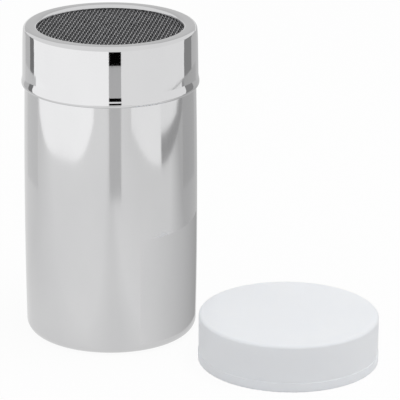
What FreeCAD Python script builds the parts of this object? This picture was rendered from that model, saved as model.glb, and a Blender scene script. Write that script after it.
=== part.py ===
"""Mesh-topped shaker for fine powder, with its push-on over-cap lying beside it.

A drawn steel can carries a push-on steel lid.  A disc of wire net is clamped inside the lid,
between the turned-down lip round the opening and a ring pressed in from below.  A plastic
over-cap fits the lid's skirt and here lies on its open side next to the can.

Frame: millimetres, +Z up, origin on the can's axis at its base.  Lengths are in millimetres and
angles in degrees.
"""
import FreeCAD, Part
import math
import os
import Sketcher

# Driving sizes.  Each one can be changed by itself.
SIZES = {
    "overall_height": 130.0,
    # the can
    "can_wall": 0.6,
    "can_body_radius": 35.25,
    "can_corner_round": 4.5,
    "can_shoulder_depth": 3.5,
    "can_neck_drop": 2.2,
    # the lid
    "lid_sheet": 0.5,
    "lid_skirt_radius": 35.53,
    "lid_skirt_depth": 18.0,
    "lid_shoulder_depth": 5.6,
    "lid_shoulder_lean": 4.0,
    "lid_edge_round": 2.0,
    "lid_rim_width": 6.03,
    "lid_lip_depth": 1.6,
    "lid_lip_bevel": 0.4,
    "lid_flare_depth": 5.6,
    "lid_flare_proud": 0.555,
    "lid_curl_round": 1.3,
    "lid_curl_angle": 60.0,
    # the net and the ring that clamps it
    "net_wire": 0.45,
    "net_wire_pitch": 1.6,
    "net_wires_per_gap": 2.0,
    "net_selvedge": 2.2,
    "net_lean": 8.5,
    "ring_sheet": 0.8,
    "ring_depth": 4.8,
    # the over-cap
    "cap_wall": 0.65,
    "cap_crown": 0.9,
    "cap_depth": 18.6,
    "cap_edge_round": 1.3,
    "cap_band_height": 3.8,
    "cap_band_proud": 0.2,
    "cap_gap": 8.15,
    "cap_bearing": -25.84,
    # clearances, each on the radius
    "lid_fit": 0.08,
    "ring_fit": 0.02,
    "net_fit": 0.15,
    "cap_fit": 0.17,
    "ring_setback": 0.1,
}

# Sizes worked out from the driving ones.  Each formula may use the ones above it.
WORKED = {
    # the opening, and heights down the lid's axis
    "opening_radius": "Sizes.lid_skirt_radius - Sizes.lid_rim_width",
    "lid_lip_foot": "Sizes.overall_height - Sizes.lid_lip_depth",
    "lid_underside": "Sizes.overall_height - Sizes.lid_sheet",
    "net_foot": "lid_lip_foot - 2 * Sizes.net_wire",
    "ring_flange_foot": "net_foot - Sizes.ring_sheet",
    "ring_foot": "net_foot - Sizes.ring_depth",
    "can_mouth": "ring_foot",
    # the lid's edge round, its leaning shoulder and the skirt, from the top down
    "edge_centre_height": "Sizes.overall_height - Sizes.lid_edge_round",
    "edge_foot": "edge_centre_height + Sizes.lid_edge_round * sin(Sizes.lid_shoulder_lean)",
    "shoulder_foot": "edge_foot - Sizes.lid_shoulder_depth",
    "edge_foot_radius": "Sizes.lid_skirt_radius"
                        " - Sizes.lid_shoulder_depth * tan(Sizes.lid_shoulder_lean)",
    "edge_centre_radius": "edge_foot_radius - Sizes.lid_edge_round * cos(Sizes.lid_shoulder_lean)",
    # the flare at the skirt's foot and its turned-in edge
    "skirt_foot": "Sizes.overall_height - Sizes.lid_skirt_depth",
    "crest_height": "skirt_foot - Sizes.lid_flare_depth",
    "crest_radius": "Sizes.lid_skirt_radius + Sizes.lid_flare_proud",
    "curl_centre_radius": "crest_radius - Sizes.lid_curl_round",
    "curl_inner_round": "Sizes.lid_curl_round - Sizes.lid_sheet",
    "curl_end_bore": "curl_centre_radius + curl_inner_round * cos(Sizes.lid_curl_angle)",
    "curl_end_inner_height": "crest_height - curl_inner_round * sin(Sizes.lid_curl_angle)",
    "curl_end_height": "crest_height - Sizes.lid_curl_round * sin(Sizes.lid_curl_angle)",
    # the same stations on the inside of the sheet
    "lip_outer_radius": "opening_radius + Sizes.lid_sheet",
    "lip_bevel_end": "opening_radius + Sizes.lid_lip_bevel",
    "lip_bevel_foot": "Sizes.overall_height - Sizes.lid_lip_bevel",
    "edge_inner_round": "Sizes.lid_edge_round - Sizes.lid_sheet",
    "edge_foot_bore": "edge_centre_radius + edge_inner_round * cos(Sizes.lid_shoulder_lean)",
    "skirt_bore": "Sizes.lid_skirt_radius - Sizes.lid_sheet",
    "crest_bore": "crest_radius - Sizes.lid_sheet",
    # what goes inside the lid
    "ring_radius": "edge_foot_bore - Sizes.ring_fit",
    "ring_bore": "opening_radius + Sizes.ring_setback",
    "ring_leg_bore": "ring_radius - Sizes.ring_sheet",
    "net_radius": "ring_radius - Sizes.net_fit",
    "net_thickness": "2 * Sizes.net_wire",
    # the can: its neck passes inside the lid's skirt
    "can_neck_radius": "skirt_bore - Sizes.lid_fit",
    "can_neck_bore": "can_neck_radius - Sizes.can_wall",
    "can_neck_foot": "curl_end_height - Sizes.can_neck_drop",
    "can_shoulder_foot": "can_neck_foot - Sizes.can_shoulder_depth",
    "can_bore": "Sizes.can_body_radius - Sizes.can_wall",
    "corner_centre_radius": "Sizes.can_body_radius - Sizes.can_corner_round",
    "corner_inner_round": "Sizes.can_corner_round - Sizes.can_wall",
    # the over-cap
    "cap_bore_radius": "Sizes.lid_skirt_radius + Sizes.cap_fit",
    "cap_radius": "cap_bore_radius + Sizes.cap_wall",
    "cap_band_radius": "cap_radius + Sizes.cap_band_proud",
    "cap_height": "Sizes.cap_depth + Sizes.cap_crown",
    "cap_edge_centre_radius": "cap_radius - Sizes.cap_edge_round",
    "cap_edge_centre_height": "cap_height - Sizes.cap_edge_round",
    "cap_band_top": "Sizes.cap_band_height - Sizes.cap_band_proud",
    "cap_distance": "crest_radius + Sizes.cap_gap + cap_band_radius",
    "cap_place_x": "cap_distance * cos(Sizes.cap_bearing)",
    "cap_place_y": "cap_distance * sin(Sizes.cap_bearing)",
}

# Rounded corners of the sections, each drawn as a few flat bands that keep to its arc:
# centre radius, centre height, corner radius, first and last angle, and the number of bands.
ROUNDS = {
    "corner": ("corner_centre_radius", "Sizes.can_corner_round", "Sizes.can_corner_round",
               "-90", "0", "3"),
    "corner_inner": ("corner_centre_radius", "Sizes.can_corner_round", "corner_inner_round",
                     "0", "-90", "1"),
    "edge": ("edge_centre_radius", "edge_centre_height", "Sizes.lid_edge_round",
             "90", "Sizes.lid_shoulder_lean", "2"),
    "edge_inner": ("edge_centre_radius", "edge_centre_height", "edge_inner_round",
                   "Sizes.lid_shoulder_lean", "90", "2"),
    "curl": ("curl_centre_radius", "crest_height", "Sizes.lid_curl_round",
             "0", "-Sizes.lid_curl_angle", "2"),
    "cap_edge": ("cap_edge_centre_radius", "cap_edge_centre_height", "Sizes.cap_edge_round",
                 "90", "0", "2"),
}

AXIS = "axis"
FLOOR = "floor"


def round_cells():
    """The formulas of every round's stations, and the stations of each round by its name."""
    cells = {}
    stations = {}
    for name, (radius, height, size, first, last, bands) in ROUNDS.items():
        stations[name] = []
        for step in range(int(bands) + 1):
            angle = f"({first}) + (({last}) - ({first})) * {step} / {bands}"
            pair = (f"{name}_{step}_radius", f"{name}_{step}_height")
            cells[pair[0]] = f"{radius} + {size} * cos({angle})"
            cells[pair[1]] = f"{height} + {size} * sin({angle})"
            stations[name].append(pair)
    return cells, stations


def make_sheet(doc, name, cells):
    """A spreadsheet with one labelled and named cell per row."""
    sheet = doc.addObject("Spreadsheet::Sheet", name)
    for row, (alias, content) in enumerate(cells.items(), start=1):
        sheet.set(f"A{row}", alias)
        sheet.set(f"B{row}", content)
        sheet.setAlias(f"B{row}", alias)
    return sheet


class Sizes:
    """Looks a size up by name, as a number or as the expression that binds to its cell."""

    def __init__(self, doc):
        driving = {alias: str(number) for alias, number in SIZES.items()}
        rounded, self.rounds = round_cells()
        formulas = {alias: "=" + formula for alias, formula in {**WORKED, **rounded}.items()}
        self.driving = make_sheet(doc, "Sizes", driving)
        self.worked = make_sheet(doc, "Worked", formulas)
        doc.recompute()

    def number(self, name):
        """The size's present value."""
        if name in (AXIS, FLOOR):
            return 0.0
        sheet = self.driving if name in SIZES else self.worked
        return float(sheet.get(name))

    def cell(self, name):
        """The size's cell, as an expression."""
        sheet = self.driving if name in SIZES else self.worked
        return f"{sheet.Name}.{name}"


def draw_section(body, sizes, stations):
    """A closed half section on the body's XZ plane through the (radius, height) stations."""
    sketch = body.newObject("Sketcher::SketchObject", body.Name + "_section")
    plane = next(item for item in body.Origin.OriginFeatures if item.Role == "XZ_Plane")
    sketch.AttachmentSupport = (plane, [""])
    sketch.MapMode = "FlatFace"
    points = [FreeCAD.Vector(sizes.number(s[0]), sizes.number(s[1]), 0) for s in stations]
    lines = []
    for index, point in enumerate(points):
        following = points[(index + 1) % len(points)]
        lines.append(sketch.addGeometry(Part.LineSegment(point, following), False))
    for index, line in enumerate(lines):
        sketch.addConstraint(Sketcher.Constraint("Coincident", lines[index - 1], 2, line, 1))
    for line, (radius, height) in zip(lines, stations):
        place_point(sketch, sizes, (line, 1), radius, "DistanceX", AXIS, -2)
        place_point(sketch, sizes, (line, 1), height, "DistanceY", FLOOR, -1)
    return sketch


def place_point(sketch, sizes, point, name, distance, zero_name, axis_line):
    """Hold one coordinate of a sketch point to its cell, or to the axis where it is zero."""
    if name == zero_name:
        sketch.addConstraint(Sketcher.Constraint("PointOnObject", *point, axis_line))
        return
    number = sketch.addConstraint(
        Sketcher.Constraint(distance, -1, 1, *point, sizes.number(name)))
    sketch.setExpression(f"Constraints[{number}]", sizes.cell(name))


def turn_section(doc, sizes, name, stations):
    """A body made by turning a closed half section about the Z axis."""
    body = doc.addObject("PartDesign::Body", name)
    body.Label = name
    sketch = draw_section(body, sizes, stations)
    turned = body.newObject("PartDesign::Revolution", name + "_turned")
    turned.Profile = sketch
    turned.ReferenceAxis = (sketch, ["V_Axis"])
    turned.Angle = 360.0
    sketch.Visibility = False
    doc.recompute()
    return body


def make_can(doc, sizes):
    """The can: one drawn wall, drawn in a little to the neck that the lid goes over."""
    return turn_section(doc, sizes, "can", [
        (AXIS, FLOOR),
        *sizes.rounds["corner"],
        ("can_body_radius", "can_shoulder_foot"),
        ("can_neck_radius", "can_neck_foot"),
        ("can_neck_radius", "can_mouth"),
        ("can_neck_bore", "can_mouth"),
        ("can_neck_bore", "can_neck_foot"),
        ("can_bore", "can_shoulder_foot"),
        *sizes.rounds["corner_inner"],
        (AXIS, "can_wall"),
    ])


def make_lid_shell(doc, sizes):
    """The lid: one sheet with a turned-down lip, a leaning shoulder, a skirt and a flared foot."""
    return turn_section(doc, sizes, "lid_shell", [
        ("opening_radius", "lid_lip_foot"),
        ("opening_radius", "lip_bevel_foot"),
        ("lip_bevel_end", "overall_height"),
        *sizes.rounds["edge"],
        ("lid_skirt_radius", "shoulder_foot"),
        ("lid_skirt_radius", "skirt_foot"),
        *sizes.rounds["curl"],
        ("curl_end_bore", "curl_end_inner_height"),
        ("crest_bore", "crest_height"),
        ("skirt_bore", "skirt_foot"),
        ("skirt_bore", "shoulder_foot"),
        *sizes.rounds["edge_inner"],
        ("lip_outer_radius", "lid_underside"),
        ("lip_outer_radius", "lid_lip_foot"),
    ])


def make_mesh_disc(doc, sizes):
    """The net: a flat disc with a grid of square gaps, set askew as it was cut from the roll."""
    wire = sizes.number("net_wire")
    pitch = sizes.number("net_wire_pitch") * sizes.number("net_wires_per_gap")
    woven_radius = sizes.number("net_radius") - sizes.number("net_selvedge")
    gap_side = pitch - wire
    reach = int(woven_radius / pitch)
    wires = [Part.Wire(Part.makeCircle(sizes.number("net_radius")))]
    for column in range(-reach, reach + 1):
        for row in range(-reach, reach + 1):
            x = column * pitch
            y = row * pitch
            if math.hypot(abs(x) + gap_side / 2, abs(y) + gap_side / 2) > woven_radius:
                continue
            corner = FreeCAD.Vector(x - gap_side / 2, y - gap_side / 2, 0)
            wires.append(Part.makePlane(gap_side, gap_side, corner).OuterWire)
    print(f"mesh_disc: {len(wires) - 1} gaps")
    face = Part.makeFace(wires, "Part::FaceMakerBullseye")
    net = doc.addObject("Part::Feature", "mesh_disc")
    net.Label = "mesh_disc"
    net.Shape = face.extrude(FreeCAD.Vector(0, 0, sizes.number("net_thickness")))
    lean = FreeCAD.Rotation(FreeCAD.Vector(0, 0, 1), -sizes.number("net_lean"))
    net.Placement = FreeCAD.Placement(FreeCAD.Vector(0, 0, sizes.number("net_foot")), lean)
    return net


def make_mesh_retaining_ring(doc, sizes):
    """The clamping ring: a flange under the net and a leg that grips the lid's wall."""
    return turn_section(doc, sizes, "mesh_retaining_ring", [
        ("ring_bore", "ring_flange_foot"),
        ("ring_bore", "net_foot"),
        ("ring_radius", "net_foot"),
        ("ring_radius", "ring_foot"),
        ("ring_leg_bore", "ring_foot"),
        ("ring_leg_bore", "ring_flange_foot"),
    ])


def make_dust_cap(doc, sizes):
    """The over-cap: a shallow cup with a slightly thicker band at its rim, open side down."""
    cap = turn_section(doc, sizes, "dust_cap", [
        (AXIS, "cap_depth"),
        (AXIS, "cap_height"),
        *sizes.rounds["cap_edge"],
        ("cap_radius", "cap_band_height"),
        ("cap_band_radius", "cap_band_top"),
        ("cap_band_radius", FLOOR),
        ("cap_bore_radius", FLOOR),
        ("cap_bore_radius", "cap_depth"),
    ])
    cap.setExpression("Placement.Base.x", sizes.cell("cap_place_x"))
    cap.setExpression("Placement.Base.y", sizes.cell("cap_place_y"))
    doc.recompute()
    return cap


def check(doc, parts):
    """Stop if a feature failed or a part's shape isn't one valid solid."""
    for item in doc.Objects:
        if "Invalid" in item.State or "Error" in item.State:
            raise ValueError(f"{item.Label} did not build: {item.State}")
    for part in parts:
        shape = part.Shape
        if shape.isNull() or not shape.isValid() or len(shape.Solids) != 1:
            raise ValueError(f"{part.Label} is not one valid solid")
        box = shape.optimalBoundingBox(False, False)
        print(f"{part.Label}: {shape.Volume:.1f} mm3, z {box.ZMin:.2f} to {box.ZMax:.2f},"
              f" {box.XLength:.2f} x {box.YLength:.2f}")


def main():
    """Build the document, check it and write one file per part."""
    doc = FreeCAD.newDocument("shaker")
    sizes = Sizes(doc)
    parts = [
        make_can(doc, sizes),
        make_lid_shell(doc, sizes),
        make_mesh_disc(doc, sizes),
        make_mesh_retaining_ring(doc, sizes),
        make_dust_cap(doc, sizes),
    ]
    doc.recompute()
    check(doc, parts)
    os.makedirs("parts", exist_ok=True)
    for part in parts:
        part.Shape.exportStep(os.path.join("parts", part.Label + ".step"))


main()
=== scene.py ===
"""A mesh-topped shaker for fine powder, with its over-cap beside it, in a plain white studio.

The can, the lid and the over-cap are turned from half sections.  The net is woven from single
wires.  Sizes are in millimetres unless a name says otherwise, and become metres in the meshes.
"""
import logging
import math
from dataclasses import dataclass
from enum import Enum

import bmesh
import bpy
from mathutils import Matrix, Vector


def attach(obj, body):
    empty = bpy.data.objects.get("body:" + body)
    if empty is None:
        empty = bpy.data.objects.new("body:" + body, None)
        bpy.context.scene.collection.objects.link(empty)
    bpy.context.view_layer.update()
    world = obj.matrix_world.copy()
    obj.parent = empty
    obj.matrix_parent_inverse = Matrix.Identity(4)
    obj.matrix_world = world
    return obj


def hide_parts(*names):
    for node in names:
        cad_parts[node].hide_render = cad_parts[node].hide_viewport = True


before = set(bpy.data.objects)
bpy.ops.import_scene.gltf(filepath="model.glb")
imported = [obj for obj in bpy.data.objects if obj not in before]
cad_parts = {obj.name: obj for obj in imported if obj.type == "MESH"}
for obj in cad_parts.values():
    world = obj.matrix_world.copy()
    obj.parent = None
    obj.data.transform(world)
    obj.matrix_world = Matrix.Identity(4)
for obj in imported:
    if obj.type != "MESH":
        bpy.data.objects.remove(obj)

LOG = logging.getLogger("shaker")
MM = 0.001
TURN_STEPS = 192
PHOTO_SIDE = 400
SENSOR_WIDTH = 36.0


class Body(Enum):
    """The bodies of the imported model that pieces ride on."""

    CAN = "can"
    LID = "lid"
    CAP = "cap"


class Slot(Enum):
    """Names of the material slots."""

    STEEL = "polished_steel"
    WIRE = "net_wire"
    PLASTIC = "milky_plastic"


class WireRun(Enum):
    """Which way a set of net wires runs."""

    ALONG_X = 1
    ALONG_Y = -1


def reach(centre: tuple, distance: float, degrees: float) -> tuple:
    """Find a point of a half section from another one.

    Args:
        centre: radius and height of the other point.
        distance: how far away the point lies.
        degrees: its direction, from straight outwards and positive upwards.

    Returns:
        Radius and height of the point.
    """
    angle = math.radians(degrees)
    return (centre[0] + distance * math.cos(angle), centre[1] + distance * math.sin(angle))


class SectionPen:
    """Draws a half section in the XZ plane, point after point, and turns it about the Z axis."""

    def __init__(self, radius: float, height: float) -> None:
        """Put the pen down at the first point.

        Args:
            radius: distance from the axis of turning.
            height: height above the floor.
        """
        self.mesh = bmesh.new()
        made = bmesh.ops.create_vert(self.mesh, co=(radius * MM, 0.0, height * MM))
        self.tip = made["vert"][0]

    def line_to(self, radius: float, height: float, pieces: int = 1) -> "SectionPen":
        """Draw a straight line.

        Args:
            radius: distance of its end from the axis.
            height: height of its end.
            pieces: how many edges it is made of.

        Returns:
            The pen itself.
        """
        start = self.tip.co.copy()
        end = Vector((radius * MM, 0.0, height * MM))
        for step in range(1, pieces + 1):
            self.tip = bmesh.ops.extrude_vert_indiv(self.mesh, verts=[self.tip])["verts"][0]
            self.tip.co = start.lerp(end, step / pieces)
        return self

    def arc(self, radius: float, height: float, degrees: float, steps: int) -> "SectionPen":
        """Draw an arc round a centre.

        Args:
            radius: distance of the centre from the axis.
            height: height of the centre.
            degrees: sweep, positive where it goes counter-clockwise with the axis on the left.
            steps: how many edges it is made of.

        Returns:
            The pen itself.
        """
        made = bmesh.ops.spin(self.mesh, geom=[self.tip], cent=(radius * MM, 0.0, height * MM),
                              axis=(0.0, -1.0, 0.0), angle=math.radians(degrees), steps=steps)
        self.tip = made["geom_last"][0]
        return self

    def turn(self) -> bmesh.types.BMesh:
        """Turn the section into a closed mesh.

        Returns:
            The mesh, with merged seam and poles and faces that point outwards.
        """
        bmesh.ops.remove_doubles(self.mesh, verts=self.mesh.verts[:], dist=1e-7)
        bmesh.ops.spin(self.mesh, geom=self.mesh.verts[:] + self.mesh.edges[:],
                       cent=(0.0, 0.0, 0.0), axis=(0.0, 0.0, 1.0), angle=math.tau,
                       steps=TURN_STEPS, use_merge=True)
        bmesh.ops.remove_doubles(self.mesh, verts=self.mesh.verts[:], dist=1e-7)
        bmesh.ops.recalc_face_normals(self.mesh, faces=self.mesh.faces[:])
        return self.mesh


def finish_mesh(name: str, mesh: bmesh.types.BMesh, sharp_degrees: float = 32.0) -> bpy.types.Object:
    """Make a smooth-shaded object of a mesh, with its place kept in the mesh.

    Args:
        name: the piece's name.
        mesh: the finished mesh, which is freed.
        sharp_degrees: edges that turn by more than this stay sharp.

    Returns:
        The object, linked into the scene.
    """
    data = bpy.data.meshes.new(name)
    mesh.to_mesh(data)
    mesh.free()
    data.shade_smooth()
    data.set_sharp_from_angle(angle=math.radians(sharp_degrees))
    piece = bpy.data.objects.new(name, data)
    bpy.context.scene.collection.objects.link(piece)
    LOG.info("%s: %d faces", name, len(data.polygons))
    return piece


@dataclass(frozen=True)
class Grain:
    """A noise on a piece's own coordinates.

    Its size is the noise's scale per metre, its detail is how many finer layers it has, and its
    stretch scales the coordinates along X, Y and Z.
    """

    size: float
    detail: float
    stretch: tuple = (1.0, 1.0, 1.0)


DRAW_MARKS = Grain(2600.0, 3.0, (1.0, 1.0, 0.02))
WIPING = Grain(55.0, 5.0, (1.0, 1.0, 0.45))
SPECKS = Grain(1500.0, 2.0)
OXIDE_PATCHES = Grain(260.0, 3.0)
WIRE_MARKS = Grain(4200.0, 2.0)
FLOW_CLOUDS = Grain(38.0, 4.0)
EGGSHELL = Grain(2400.0, 3.0)
SCUFFS = Grain(420.0, 6.0, (1.0, 0.15, 1.0))


class ShaderBench:
    """A material under construction: adds nodes and links or sets their inputs."""

    def __init__(self, name: str) -> None:
        """Start a material that holds only a Principled shader and its output."""
        self.material = bpy.data.materials.new(name)
        self.material.use_nodes = True
        self.tree = self.material.node_tree
        self.shader = self.tree.nodes["Principled BSDF"]
        self.output = self.tree.nodes["Material Output"]

    def add(self, kind: str, inputs: dict, **settings: object) -> bpy.types.Node:
        """Add a node.

        Args:
            kind: the node's type.
            inputs: value or output socket for each input, by name or number.
            settings: properties of the node.

        Returns:
            The node.
        """
        node = self.tree.nodes.new(kind)
        for key, value in settings.items():
            setattr(node, key, value)
        for key, value in inputs.items():
            self.feed(node, key, value)
        return node

    def feed(self, node: bpy.types.Node, key: object, value: object) -> None:
        """Link an output socket to an input, or set the input to a value."""
        if isinstance(value, bpy.types.NodeSocket):
            self.tree.links.new(value, node.inputs[key])
        else:
            node.inputs[key].default_value = value

    def noise(self, grain: Grain) -> bpy.types.NodeSocket:
        """Add a noise.

        Args:
            grain: what the noise is like.

        Returns:
            The noise's factor.
        """
        place = self.add("ShaderNodeTexCoord", {})
        mapped = self.add("ShaderNodeMapping",
                          {"Vector": place.outputs["Object"], "Scale": grain.stretch})
        noise = self.add("ShaderNodeTexNoise",
                         {"Vector": mapped.outputs["Vector"], "Scale": grain.size,
                          "Detail": grain.detail})
        return noise.outputs["Fac"]

    def ramp(self, value: bpy.types.NodeSocket, start: float, end: float,
             low: float, high: float) -> bpy.types.NodeSocket:
        """Map the range from start to end to the range from low to high, and hold its ends."""
        mapped = self.add("ShaderNodeMapRange", {"Value": value, "From Min": start, "From Max": end,
                                                 "To Min": low, "To Max": high})
        return mapped.outputs["Result"]

    def between(self, factor: bpy.types.NodeSocket, low: float, high: float) -> bpy.types.NodeSocket:
        """Map the middle of a noise's range to the range from low to high."""
        return self.ramp(factor, 0.3, 0.7, low, high)

    def combine(self, operation: str, first: object, second: object) -> bpy.types.NodeSocket:
        """Combine two values by one of the Math node's operations."""
        return self.add("ShaderNodeMath", {0: first, 1: second}, operation=operation).outputs[0]

    def tint(self, factor: bpy.types.NodeSocket, first: tuple, second: tuple) -> bpy.types.NodeSocket:
        """Blend two colours by a factor."""
        mixed = self.add("ShaderNodeMix", {0: factor, 6: (*first, 1.0), 7: (*second, 1.0)},
                         data_type="RGBA")
        return mixed.outputs[2]

    def relief(self, height: bpy.types.NodeSocket, strength: float, depth: float) -> None:
        """Bump the shader's normal by a height, with its depth in metres."""
        bump = self.add("ShaderNodeBump",
                        {"Height": height, "Strength": strength, "Distance": depth})
        self.feed(self.shader, "Normal", bump.outputs["Normal"])


@dataclass(frozen=True)
class SteelFinish:
    """Stainless steel, from mirror-polished to softly drawn."""

    name: str
    light: tuple
    dark: tuple
    smooth: float
    rough: float
    streak: float
    relief_depth: float
    relief_strength: float = 0.25
    dust_share: float = 0.3

    def make(self) -> bpy.types.Material:
        """Build the steel.

        Returns:
            A metal whose tone and gloss vary with fine draw marks, wiping marks and specks.
        """
        bench = ShaderBench(self.name)
        draw_marks = bench.noise(DRAW_MARKS)
        wiping = bench.noise(WIPING)
        specks = bench.noise(SPECKS)
        tone = bench.between(wiping, 0.0, 1.0)
        bench.feed(bench.shader, "Base Color", bench.tint(tone, self.light, self.dark))
        soft = bench.between(wiping, self.smooth, self.rough)
        marks = bench.between(draw_marks, 0.0, self.streak)
        dust = bench.between(specks, 0.0, self.streak * self.dust_share)
        worn = bench.combine("ADD", bench.combine("ADD", soft, marks), dust)
        bench.feed(bench.shader, "Roughness", worn)
        bench.shader.inputs["Metallic"].default_value = 1.0
        bench.relief(draw_marks, self.relief_strength, self.relief_depth)
        return bench.material


@dataclass(frozen=True)
class WireFinish:
    """Dull woven wire, darker in patches where powder and oxide stay on it. The fine wires' tones also
    hold painted shade.
    """

    name: str
    light: tuple
    dark: tuple
    smooth: float = 0.28
    rough: float = 0.46
    relief_strength: float = 0.3
    relief_depth: float = 0.00001

    def make(self) -> bpy.types.Material:
        """Build the wire's metal.

        Returns:
            A dull metal with drawing marks and uneven tone from wire to wire.
        """
        bench = ShaderBench(self.name)
        patches = bench.noise(OXIDE_PATCHES)
        marks = bench.noise(WIRE_MARKS)
        tone = bench.between(patches, 0.0, 1.0)
        bench.feed(bench.shader, "Base Color", bench.tint(tone, self.light, self.dark))
        bench.feed(bench.shader, "Roughness", bench.between(marks, self.smooth, self.rough))
        bench.shader.inputs["Metallic"].default_value = 1.0
        bench.relief(marks, self.relief_strength, self.relief_depth)
        return bench.material


@dataclass(frozen=True)
class MilkyFinish:
    """Translucent milky plastic as it leaves the mould."""

    name: str
    light: tuple
    dark: tuple
    depth: float
    smooth: float = 0.34
    rough: float = 0.48
    cloudiness: float = 0.55
    spread: tuple = (1.0, 1.05, 1.1)
    refraction: float = 1.49
    relief_strength: float = 0.2
    relief_depth: float = 0.00002

    def make(self) -> bpy.types.Material:
        """Build the plastic.

        Returns:
            A soft white that lets light in, with flow clouds, an eggshell grain and scuffs.
        """
        bench = ShaderBench(self.name)
        clouds = bench.noise(FLOW_CLOUDS)
        eggshell = bench.noise(EGGSHELL)
        scuffs = bench.noise(SCUFFS)
        tone = bench.between(clouds, 0.0, 1.0)
        bench.feed(bench.shader, "Base Color", bench.tint(tone, self.light, self.dark))
        bench.feed(bench.shader, "Roughness", bench.between(scuffs, self.smooth, self.rough))
        bench.shader.inputs["Subsurface Weight"].default_value = self.cloudiness
        bench.shader.inputs["Subsurface Radius"].default_value = self.spread
        bench.shader.inputs["Subsurface Scale"].default_value = self.depth
        bench.shader.inputs["IOR"].default_value = self.refraction
        bench.relief(eggshell, self.relief_strength, self.relief_depth)
        return bench.material


def dress(piece: bpy.types.Object, material: bpy.types.Material) -> None:
    """Give a piece one material in place of any it has."""
    piece.data.materials.clear()
    piece.data.materials.append(material)


@dataclass
class Can:
    """The drawn can that holds the powder, with the slight belly of its wall."""

    wall: float = 0.6
    corner_round: float = 4.5
    belly_radius: float = 35.42
    belly_height: float = 47.0
    belly_round: float = 2757.0
    neck_height: float = 103.06
    mouth: float = 122.7
    rim_round: float = 0.2
    finish: SteelFinish = SteelFinish("steel_drawn_can", (0.640, 0.640, 0.645),
                                      (0.615, 0.615, 0.622), 0.050, 0.085, 0.035, 0.000003)

    def build(self) -> bpy.types.Object:
        """Turn the can and dress it.

        Returns:
            The can as one piece that rides on its body.
        """
        belly_centre = self.belly_radius - self.belly_round
        corner_reach = self.belly_round - self.corner_round
        foot_lean = math.asin((self.belly_height - self.corner_round) / corner_reach)
        neck_lean = math.asin((self.neck_height - self.belly_height) / self.belly_round)
        corner = belly_centre + corner_reach * math.cos(foot_lean)
        neck = belly_centre + self.belly_round * math.cos(neck_lean)
        corner_sweep = 90.0 - math.degrees(foot_lean)
        belly_sweep = math.degrees(foot_lean + neck_lean)
        bore = neck - self.wall
        rim = self.rim_round
        pen = SectionPen(0.0, 0.0).line_to(corner, 0.0, 6)
        pen.arc(corner, self.corner_round, corner_sweep, 14)
        pen.arc(belly_centre, self.belly_height, belly_sweep, 28)
        pen.line_to(neck, self.mouth - rim, 3)
        pen.arc(neck - rim, self.mouth - rim, 90.0, 4)
        pen.line_to(bore + rim, self.mouth)
        pen.arc(bore + rim, self.mouth - rim, 90.0, 4)
        pen.line_to(bore, self.neck_height, 3)
        pen.arc(belly_centre, self.belly_height, -belly_sweep, 14)
        pen.arc(corner, self.corner_round, -corner_sweep, 10)
        pen.line_to(0.0, self.wall, 4)
        piece = finish_mesh("can_body", pen.turn())
        dress(piece, self.finish.make())
        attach(piece, Body.CAN.value)
        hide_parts("can")
        return piece


@dataclass
class Lid:
    """The polished lid with the ring that clamps the net inside it."""

    top: float = 130.0
    sheet: float = 0.5
    opening: float = 29.5
    lip_round: float = 1.5
    lip_foot: float = 128.4
    edge_round: float = 2.0
    edge_centre: float = 33.15
    edge_sweep: float = 85.0
    shoulder_round: float = 80.0
    shoulder_sweep: float = 4.0
    hollow_round: float = 11.3
    hollow_sweep: float = 11.9
    full_round: float = 5.7
    flare_radius: float = 36.0826
    curl_round: float = 1.3
    curl_height: float = 106.387
    curl_sweep: float = 60.0
    finish: SteelFinish = SteelFinish("steel_mirror_lid", (0.645, 0.645, 0.650),
                                      (0.625, 0.625, 0.632), 0.022, 0.045, 0.02, 0.000001)
    ring_finish: SteelFinish = SteelFinish("steel_plain_ring", (0.60, 0.60, 0.61),
                                           (0.52, 0.52, 0.53), 0.22, 0.34, 0.08, 0.000004)

    def build(self) -> bpy.types.Object:
        """Turn the lid, dress it and dress the ring inside it.

        Returns:
            The lid as one piece that rides on its body.
        """
        lip = self.opening + self.lip_round
        lip_height = self.top - self.lip_round
        edge = (self.edge_centre, self.top - self.edge_round)
        shoulder_lean = 90.0 - self.edge_sweep
        skirt_lean = shoulder_lean - self.shoulder_sweep
        flare_lean = skirt_lean + self.hollow_sweep
        shoulder = reach(edge, self.edge_round - self.shoulder_round, shoulder_lean)
        full = (self.flare_radius - self.full_round, self.curl_height)
        hollow = reach(full, self.full_round + self.hollow_round, flare_lean)
        curl = (self.flare_radius - self.curl_round, self.curl_height)
        pen = SectionPen(self.opening, self.lip_foot).line_to(self.opening, lip_height)
        pen.arc(lip, lip_height, -90.0, 8)
        pen.line_to(self.edge_centre, self.top, 2)
        pen.arc(*edge, -self.edge_sweep, 14)
        pen.arc(*shoulder, -self.shoulder_sweep, 8)
        pen.line_to(*reach(hollow, -self.hollow_round, skirt_lean), 4)
        pen.arc(*hollow, self.hollow_sweep, 10)
        pen.arc(*full, -flare_lean, 10)
        pen.arc(*curl, -self.curl_sweep, 8)
        pen.line_to(*reach(curl, self.curl_round - self.sheet, -self.curl_sweep))
        pen.arc(*curl, self.curl_sweep, 6)
        pen.arc(*full, flare_lean, 5)
        pen.arc(*hollow, -self.hollow_sweep, 5)
        pen.line_to(*reach(shoulder, self.shoulder_round - self.sheet, skirt_lean), 2)
        pen.arc(*shoulder, self.shoulder_sweep, 4)
        pen.arc(*edge, self.edge_sweep, 8)
        pen.line_to(lip, self.top - self.sheet)
        pen.arc(lip, lip_height, 90.0, 4)
        pen.line_to(self.opening + self.sheet, self.lip_foot)
        pen.line_to(self.opening, self.lip_foot)
        piece = finish_mesh("lid_cover", pen.turn())
        dress(piece, self.finish.make())
        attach(piece, Body.LID.value)
        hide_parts("lid_shell")
        dress(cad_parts["mesh_retaining_ring"], self.ring_finish.make())
        return piece


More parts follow.
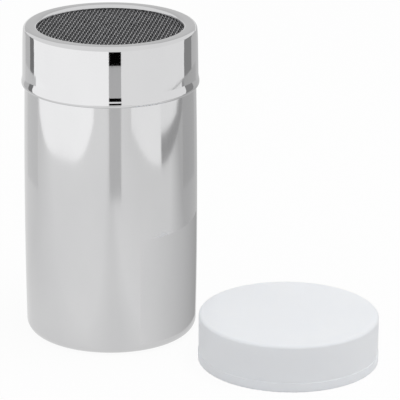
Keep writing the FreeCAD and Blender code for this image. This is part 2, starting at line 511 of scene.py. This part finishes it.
@dataclass(frozen=True)
class WireSet:
    """One set of parallel wires: its direction, thickness and how far it bends up and down."""

    name: str
    run: WireRun
    wire: float
    crimp: float
    finish: WireFinish


@dataclass
class Net:
    """The woven wire net clamped across the lid's opening: stout wires held by finer ones."""

    pitch: float = 1.6
    reach: float = 34.3
    height: float = 127.95
    lean: float = -8.5
    sides: int = 6
    steps_per_wire: int = 4
    # Painted shade: the fine wires' very dark tones stand for the shade they lie in below the stout
    # wires, not for a darker metal.
    fine: WireSet = WireSet("net_warp", WireRun.ALONG_X, 0.28, 0.31,
                            WireFinish("wire_fine_painted_shade", (0.26, 0.26, 0.27), (0.18, 0.18, 0.185)))
    stout: WireSet = WireSet("net_weft", WireRun.ALONG_Y, 0.50, 0.06,
                             WireFinish("wire_stout", (0.62, 0.62, 0.63), (0.46, 0.46, 0.47)))

    def weave(self, wires: WireSet) -> bmesh.types.BMesh:
        """Lay one set of parallel wires, each waving over and under those of the other set.

        Args:
            wires: the set to lay.

        Returns:
            The wires as one mesh, in place.
        """
        mesh = bmesh.new()
        count = int(self.reach / self.pitch)
        along_x = wires.run is WireRun.ALONG_X
        turn = Matrix.Rotation(math.pi / 2, 3, "Y" if along_x else "X")
        across = Vector((0.0, 1.0, 0.0)) if along_x else Vector((1.0, 0.0, 0.0))
        along = 0 if along_x else 1
        for index in range(-count, count + 1):
            half = math.sqrt(self.reach ** 2 - (index * self.pitch) ** 2)
            laid = len(mesh.verts)
            made = bmesh.ops.create_cone(mesh, cap_ends=True, segments=self.sides,
                                         radius1=wires.wire / 2 * MM, radius2=wires.wire / 2 * MM,
                                         depth=2 * half * MM)
            sides = {edge for vert in made["verts"] for edge in vert.link_edges
                     if abs(edge.verts[0].co.z - edge.verts[1].co.z) > half * MM}
            cuts = max(2, round(2 * half * self.steps_per_wire / self.pitch))
            bmesh.ops.subdivide_edges(mesh, edges=list(sides), cuts=cuts, use_grid_fill=True)
            verts = list(mesh.verts)[laid:]
            bmesh.ops.rotate(mesh, verts=verts, cent=(0.0, 0.0, 0.0), matrix=turn)
            rise = wires.run.value * (-1) ** index * wires.crimp * MM
            for vert in verts:
                vert.co.z += rise * math.cos(math.pi * vert.co[along] / (self.pitch * MM))
            bmesh.ops.translate(mesh, verts=verts, vec=across * (index * self.pitch * MM))
        bmesh.ops.rotate(mesh, verts=mesh.verts[:], cent=(0.0, 0.0, 0.0),
                         matrix=Matrix.Rotation(math.radians(self.lean), 3, "Z"))
        bmesh.ops.translate(mesh, verts=mesh.verts[:], vec=(0.0, 0.0, self.height * MM))
        bmesh.ops.recalc_face_normals(mesh, faces=mesh.faces[:])
        return mesh

    def build(self) -> list[bpy.types.Object]:
        """Weave both sets of wires and dress them.

        Returns:
            The two sets, which together stand for the net.
        """
        pieces = []
        for wires in (self.fine, self.stout):
            piece = finish_mesh(wires.name, self.weave(wires), 70.0)
            dress(piece, wires.finish.make())
            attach(piece, Body.LID.value)
            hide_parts("mesh_disc")
            pieces.append(piece)
        return pieces


@dataclass
class OverCap:
    """The shallow plastic cap that goes over the lid."""

    centre: tuple = (72.7076, -35.2109)
    bore: float = 35.7
    radius: float = 36.35
    band_radius: float = 36.55
    band_height: float = 3.8
    band_fade: float = 0.15
    band_bevel: float = 0.05
    height: float = 19.5
    depth: float = 18.6
    edge_round: float = 1.3
    rim_round: float = 0.3
    bore_round: float = 0.7
    finish: MilkyFinish = MilkyFinish("plastic_milky", (0.878, 0.906, 0.955), (0.858, 0.888, 0.945),
                                      0.0016)

    def build(self) -> bpy.types.Object:
        """Turn the cap, set it down beside the can and dress it.

        Returns:
            The cap as one piece that rides on its body.
        """
        edge = self.radius - self.edge_round
        rim = self.band_radius - self.rim_round
        bore_edge = self.bore + self.rim_round
        top_bore = self.bore - self.bore_round
        pen = SectionPen(0.0, self.height).line_to(edge, self.height, 6)
        pen.arc(edge, self.height - self.edge_round, -90.0, 10)
        pen.line_to(self.radius, self.band_height + self.band_fade, 4)
        pen.line_to(self.band_radius, self.band_height - self.band_bevel)
        pen.line_to(self.band_radius, self.rim_round, 2)
        pen.arc(rim, self.rim_round, -90.0, 5)
        pen.line_to(bore_edge, 0.0)
        pen.arc(bore_edge, self.rim_round, -90.0, 5)
        pen.line_to(self.bore, self.depth - self.bore_round, 4)
        pen.arc(top_bore, self.depth - self.bore_round, 90.0, 6)
        pen.line_to(0.0, self.depth, 6)
        mesh = pen.turn()
        bmesh.ops.translate(mesh, verts=mesh.verts[:],
                            vec=(self.centre[0] * MM, self.centre[1] * MM, 0.0))
        piece = finish_mesh("over_cap", mesh)
        dress(piece, self.finish.make())
        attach(piece, Body.CAP.value)
        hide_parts("dust_cap")
        return piece


@dataclass(frozen=True)
class Card:
    """A studio card that only shows in gloss, bent round the can.

    Angles go round the can from the camera's side, positive to the right.  The lower edge of a
    card with a corner rise bends up away from its middle.  A card with a last level is graded
    from its first angle to its last one.
    """

    name: str
    first: float
    last: float
    foot: float
    top: float
    level: float
    corner_rise: float = 0.0
    rise_power: float = 4.0
    middle: float | None = None
    radius: float = 222.0
    last_level: float | None = None


@dataclass
class Studio:
    """Floor, cards, lamp, surroundings and camera.

    Places and sizes of the camera and cards are in millimetres, those of the lamp and floor in
    metres.
    """

    cards: tuple = (
        Card("card_left_low", -104.0, -18.0, 24.0, 58.0, 1.31, corner_rise=26.0),
        Card("card_left_high", -108.5, 0.1, 58.0, 150.0, 1.28),
        Card("card_right_low", 27.0, 67.2, 20.0, 58.0, 1.14,
             corner_rise=24.0, rise_power=2.0, middle=67.2),
        Card("card_right_shade", 67.2, 106.0, 20.0, 58.0, 0.42,
             corner_rise=24.0, rise_power=2.0, middle=67.2),
        Card("card_right_over", 67.2, 101.0, 37.0, 58.0, 1.08,
             corner_rise=12.0, rise_power=2.0, middle=67.2, radius=220.0),
        Card("card_right_high", 14.5, 106.5, 58.0, 150.0, 1.06),
        Card("card_gap_dark", 0.1, 14.5, 76.0, 122.0, 0.001),
        Card("card_gap_grey", 0.1, 14.5, 61.0, 76.0, 0.60),
        Card("card_gap_low", 0.1, 14.5, 6.0, 61.0, 0.66),
        Card("card_left_edge", -119.0, -108.5, 58.0, 150.0, 0.24),
        Card("card_left_far", -136.0, -119.0, 58.0, 150.0, 0.64),
        Card("card_left_edge_low", -136.0, -104.0, 0.0, 58.0, 0.75),
        Card("card_right_edge", 106.5, 126.0, 58.0, 150.0, 0.32),
        Card("card_right_far", 126.0, 142.0, 58.0, 150.0, 0.6),
        Card("card_right_edge_low", 106.0, 142.0, 0.0, 58.0, 0.53),
        Card("card_back_high", 142.0, 224.0, 150.0, 420.0, 0.69),
        Card("card_beside_can", 24.0, 104.0, 0.5, 47.0, 0.94, radius=40.5, last_level=0.40),
    )
    focal_pixels: float = 2804.0
    camera_place: tuple = (36.6, -1090.0, 432.0)
    camera_pitch: float = 19.07
    camera_roll: float = 0.35
    floor_reach: float = 9.0
    floor_tone: tuple = (0.86, 0.86, 0.86, 1.0)
    floor_roughness: float = 0.9
    floor_white_share: float = 0.93
    world_level: float = 0.69
    lamp_size: float = 0.9
    lamp_energy: float = 5.8
    lamp_place: tuple = (0.30, -0.05, 1.30)
    lamp_aim: tuple = (0.03, 0.0, 0.03)

    def make_card(self, card: Card) -> bpy.types.Object:
        """Bend one card round the can.

        Args:
            card: where it stands and how bright it is.

        Returns:
            The card, unseen except in glossy surfaces.
        """
        mesh = bmesh.new()
        start = math.radians(card.first)
        place = (card.radius * math.sin(start) * MM, -card.radius * math.cos(start) * MM)
        foot = bmesh.ops.create_vert(mesh, co=(*place, card.foot * MM))["vert"][0]
        top = bmesh.ops.create_vert(mesh, co=(*place, card.top * MM))["vert"][0]
        edge = mesh.edges.new((foot, top))
        bmesh.ops.spin(mesh, geom=[foot, top, edge], cent=(0.0, 0.0, 0.0), axis=(0.0, 0.0, 1.0),
                       angle=math.radians(card.last - card.first), steps=40)
        if card.corner_rise:
            self.raise_corners(mesh, card)
        piece = finish_mesh(card.name, mesh)
        bench = ShaderBench(card.name)
        strength = card.level if card.last_level is None else self.graded_level(bench, card)
        glow = bench.add("ShaderNodeEmission", {"Strength": strength})
        bench.feed(bench.output, "Surface", glow.outputs[0])
        dress(piece, bench.material)
        piece.visible_camera = False
        piece.visible_diffuse = False
        piece.visible_transmission = False
        piece.visible_shadow = False
        return piece

    @staticmethod
    def raise_corners(mesh: bmesh.types.BMesh, card: Card) -> None:
        """Bend the lower edge of a card up away from its middle.

        Args:
            mesh: the card's mesh.
            card: the card.
        """
        middle = (card.first + card.last) / 2 if card.middle is None else card.middle
        half = max(card.last - middle, middle - card.first)
        for vert in mesh.verts:
            if vert.co.z < (card.foot + card.top) / 2 * MM:
                share = (math.degrees(math.atan2(vert.co.x, -vert.co.y)) - middle) / half
                vert.co.z += card.corner_rise * MM * abs(share) ** card.rise_power

    @staticmethod
    def graded_level(bench: ShaderBench, card: Card) -> bpy.types.NodeSocket:
        """How bright a graded card is, from its first angle backwards to its last one.

        Args:
            bench: the card's material.
            card: the card, with a last level.

        Returns:
            The brightness.
        """
        place = bench.add("ShaderNodeTexCoord", {})
        parts = bench.add("ShaderNodeSeparateXYZ", {0: place.outputs["Object"]})
        start = -card.radius * MM * math.cos(math.radians(card.first))
        end = -card.radius * MM * math.cos(math.radians(card.last))
        return bench.ramp(parts.outputs["Y"], start, end, card.level, card.last_level)

    def make_floor(self) -> bpy.types.Object:
        """Lay a wide pale floor that looks white and keeps the shadows.

        Returns:
            The floor.
        """
        mesh = bmesh.new()
        bmesh.ops.create_grid(mesh, x_segments=8, y_segments=8, size=self.floor_reach)
        floor = finish_mesh("studio_floor", mesh)
        bench = ShaderBench("studio_floor")
        bench.shader.inputs["Base Color"].default_value = self.floor_tone
        bench.shader.inputs["Roughness"].default_value = self.floor_roughness
        bench.shader.inputs["Specular IOR Level"].default_value = 0.0
        seen = self.seen_factor(bench.tree)
        share = bench.combine("MULTIPLY", seen, self.floor_white_share)
        white = bench.add("ShaderNodeEmission", {"Strength": self.gloss_level(bench)})
        mixed = bench.add("ShaderNodeMixShader",
                          {0: share, 1: bench.shader.outputs[0], 2: white.outputs[0]})
        bench.feed(bench.output, "Surface", mixed.outputs[0])
        dress(floor, bench.material)
        return floor

    @staticmethod
    def gloss_level(bench: ShaderBench) -> bpy.types.NodeSocket:
        """How bright the floor is in gloss.

        It is greyer behind the can and right of it, and in a narrow strip in front of it.

        Args:
            bench: the floor's material.

        Returns:
            The brightness, which stays one for the camera.
        """
        place = bench.add("ShaderNodeTexCoord", {})
        parts = bench.add("ShaderNodeSeparateXYZ", {0: place.outputs["Object"]})
        behind = bench.ramp(parts.outputs["Y"], -0.06, 0.05, 0.0, 1.0)
        rightward = bench.ramp(parts.outputs["X"], -0.05, 0.05, 0.16, 0.42)
        offset = bench.combine("ABSOLUTE", bench.combine("SUBTRACT", parts.outputs["X"], 0.007), 0.0)
        middle = bench.ramp(offset, 0.006, 0.03, 0.09, 0.0)
        beside = bench.ramp(parts.outputs["X"], 0.04, 0.18, 0.0, 0.10)
        loss = bench.combine("MAXIMUM", bench.combine("MULTIPLY", behind, rightward), middle)
        loss = bench.combine("MAXIMUM", loss, beside)
        gloss = bench.add("ShaderNodeLightPath", {}).outputs["Is Glossy Ray"]
        return bench.combine("SUBTRACT", 1.0, bench.combine("MULTIPLY", gloss, loss))

    @staticmethod
    def seen_factor(tree: bpy.types.NodeTree) -> bpy.types.NodeSocket:
        """One where the camera, gloss or clear material looks, and zero for other light.

        Args:
            tree: the node tree to add it to.

        Returns:
            The factor.
        """
        path = tree.nodes.new("ShaderNodeLightPath")
        total = path.outputs["Is Camera Ray"]
        for name in ("Is Glossy Ray", "Is Transmission Ray"):
            larger = tree.nodes.new("ShaderNodeMath")
            larger.operation = "MAXIMUM"
            tree.links.new(total, larger.inputs[0])
            tree.links.new(path.outputs[name], larger.inputs[1])
            total = larger.outputs[0]
        return total

    def make_world(self) -> None:
        """Surround the studio with white that lights it at a plain level."""
        world = bpy.data.worlds.new("studio_world")
        bpy.context.scene.world = world
        world.use_nodes = True
        tree = world.node_tree
        plain = tree.nodes["Background"]
        plain.inputs["Color"].default_value = (1.0, 1.0, 1.0, 1.0)
        plain.inputs["Strength"].default_value = self.world_level
        white = tree.nodes.new("ShaderNodeBackground")
        white.inputs["Color"].default_value = (1.0, 1.0, 1.0, 1.0)
        white.inputs["Strength"].default_value = 1.0
        mixed = tree.nodes.new("ShaderNodeMixShader")
        tree.links.new(self.seen_factor(tree), mixed.inputs[0])
        tree.links.new(plain.outputs[0], mixed.inputs[1])
        tree.links.new(white.outputs[0], mixed.inputs[2])
        tree.links.new(mixed.outputs[0], tree.nodes["World Output"].inputs["Surface"])

    def make_lamp(self) -> bpy.types.Object:
        """Hang one large soft lamp above the shaker.

        Returns:
            The lamp.
        """
        data = bpy.data.lights.new("soft_lamp", "AREA")
        data.shape = "DISK"
        data.size = self.lamp_size
        data.energy = self.lamp_energy
        lamp = bpy.data.objects.new("soft_lamp", data)
        place = Vector(self.lamp_place)
        lamp.location = place
        lamp.rotation_euler = (Vector(self.lamp_aim) - place).to_track_quat("-Z", "Y").to_euler()
        lamp.visible_glossy = False
        bpy.context.scene.collection.objects.link(lamp)
        return lamp

    def make_camera(self) -> bpy.types.Object:
        """Place and aim the camera for the photograph's view.

        Returns:
            The camera.
        """
        data = bpy.data.cameras.new("camera")
        data.sensor_width = SENSOR_WIDTH
        data.lens = self.focal_pixels / PHOTO_SIDE * SENSOR_WIDTH
        data.clip_start = 0.05
        data.clip_end = 50.0
        camera = bpy.data.objects.new("camera", data)
        camera.location = Vector(self.camera_place) * MM
        aim = Matrix.Rotation(math.radians(90.0 - self.camera_pitch), 3, "X")
        camera.rotation_euler = (aim @ Matrix.Rotation(math.radians(self.camera_roll), 3, "Z")).to_euler()
        bpy.context.scene.collection.objects.link(camera)
        bpy.context.scene.camera = camera
        return camera

    def build(self) -> None:
        """Set up the whole studio."""
        self.make_floor()
        for card in self.cards:
            self.make_card(card)
        self.make_world()
        self.make_lamp()
        self.make_camera()
        bpy.context.scene.view_settings.view_transform = "Standard"


def main() -> None:
    """Build the shaker and its studio, and log each piece's faces and that it is done."""
    logging.basicConfig(level=logging.INFO, format="%(name)s: %(message)s")
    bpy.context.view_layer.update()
    pieces = [Can().build(), Lid().build(), *Net().build(), OverCap().build()]
    for piece in pieces:
        LOG.info("%s is done", piece.name)
    Studio().build()


if __name__ == "__main__":
    main()
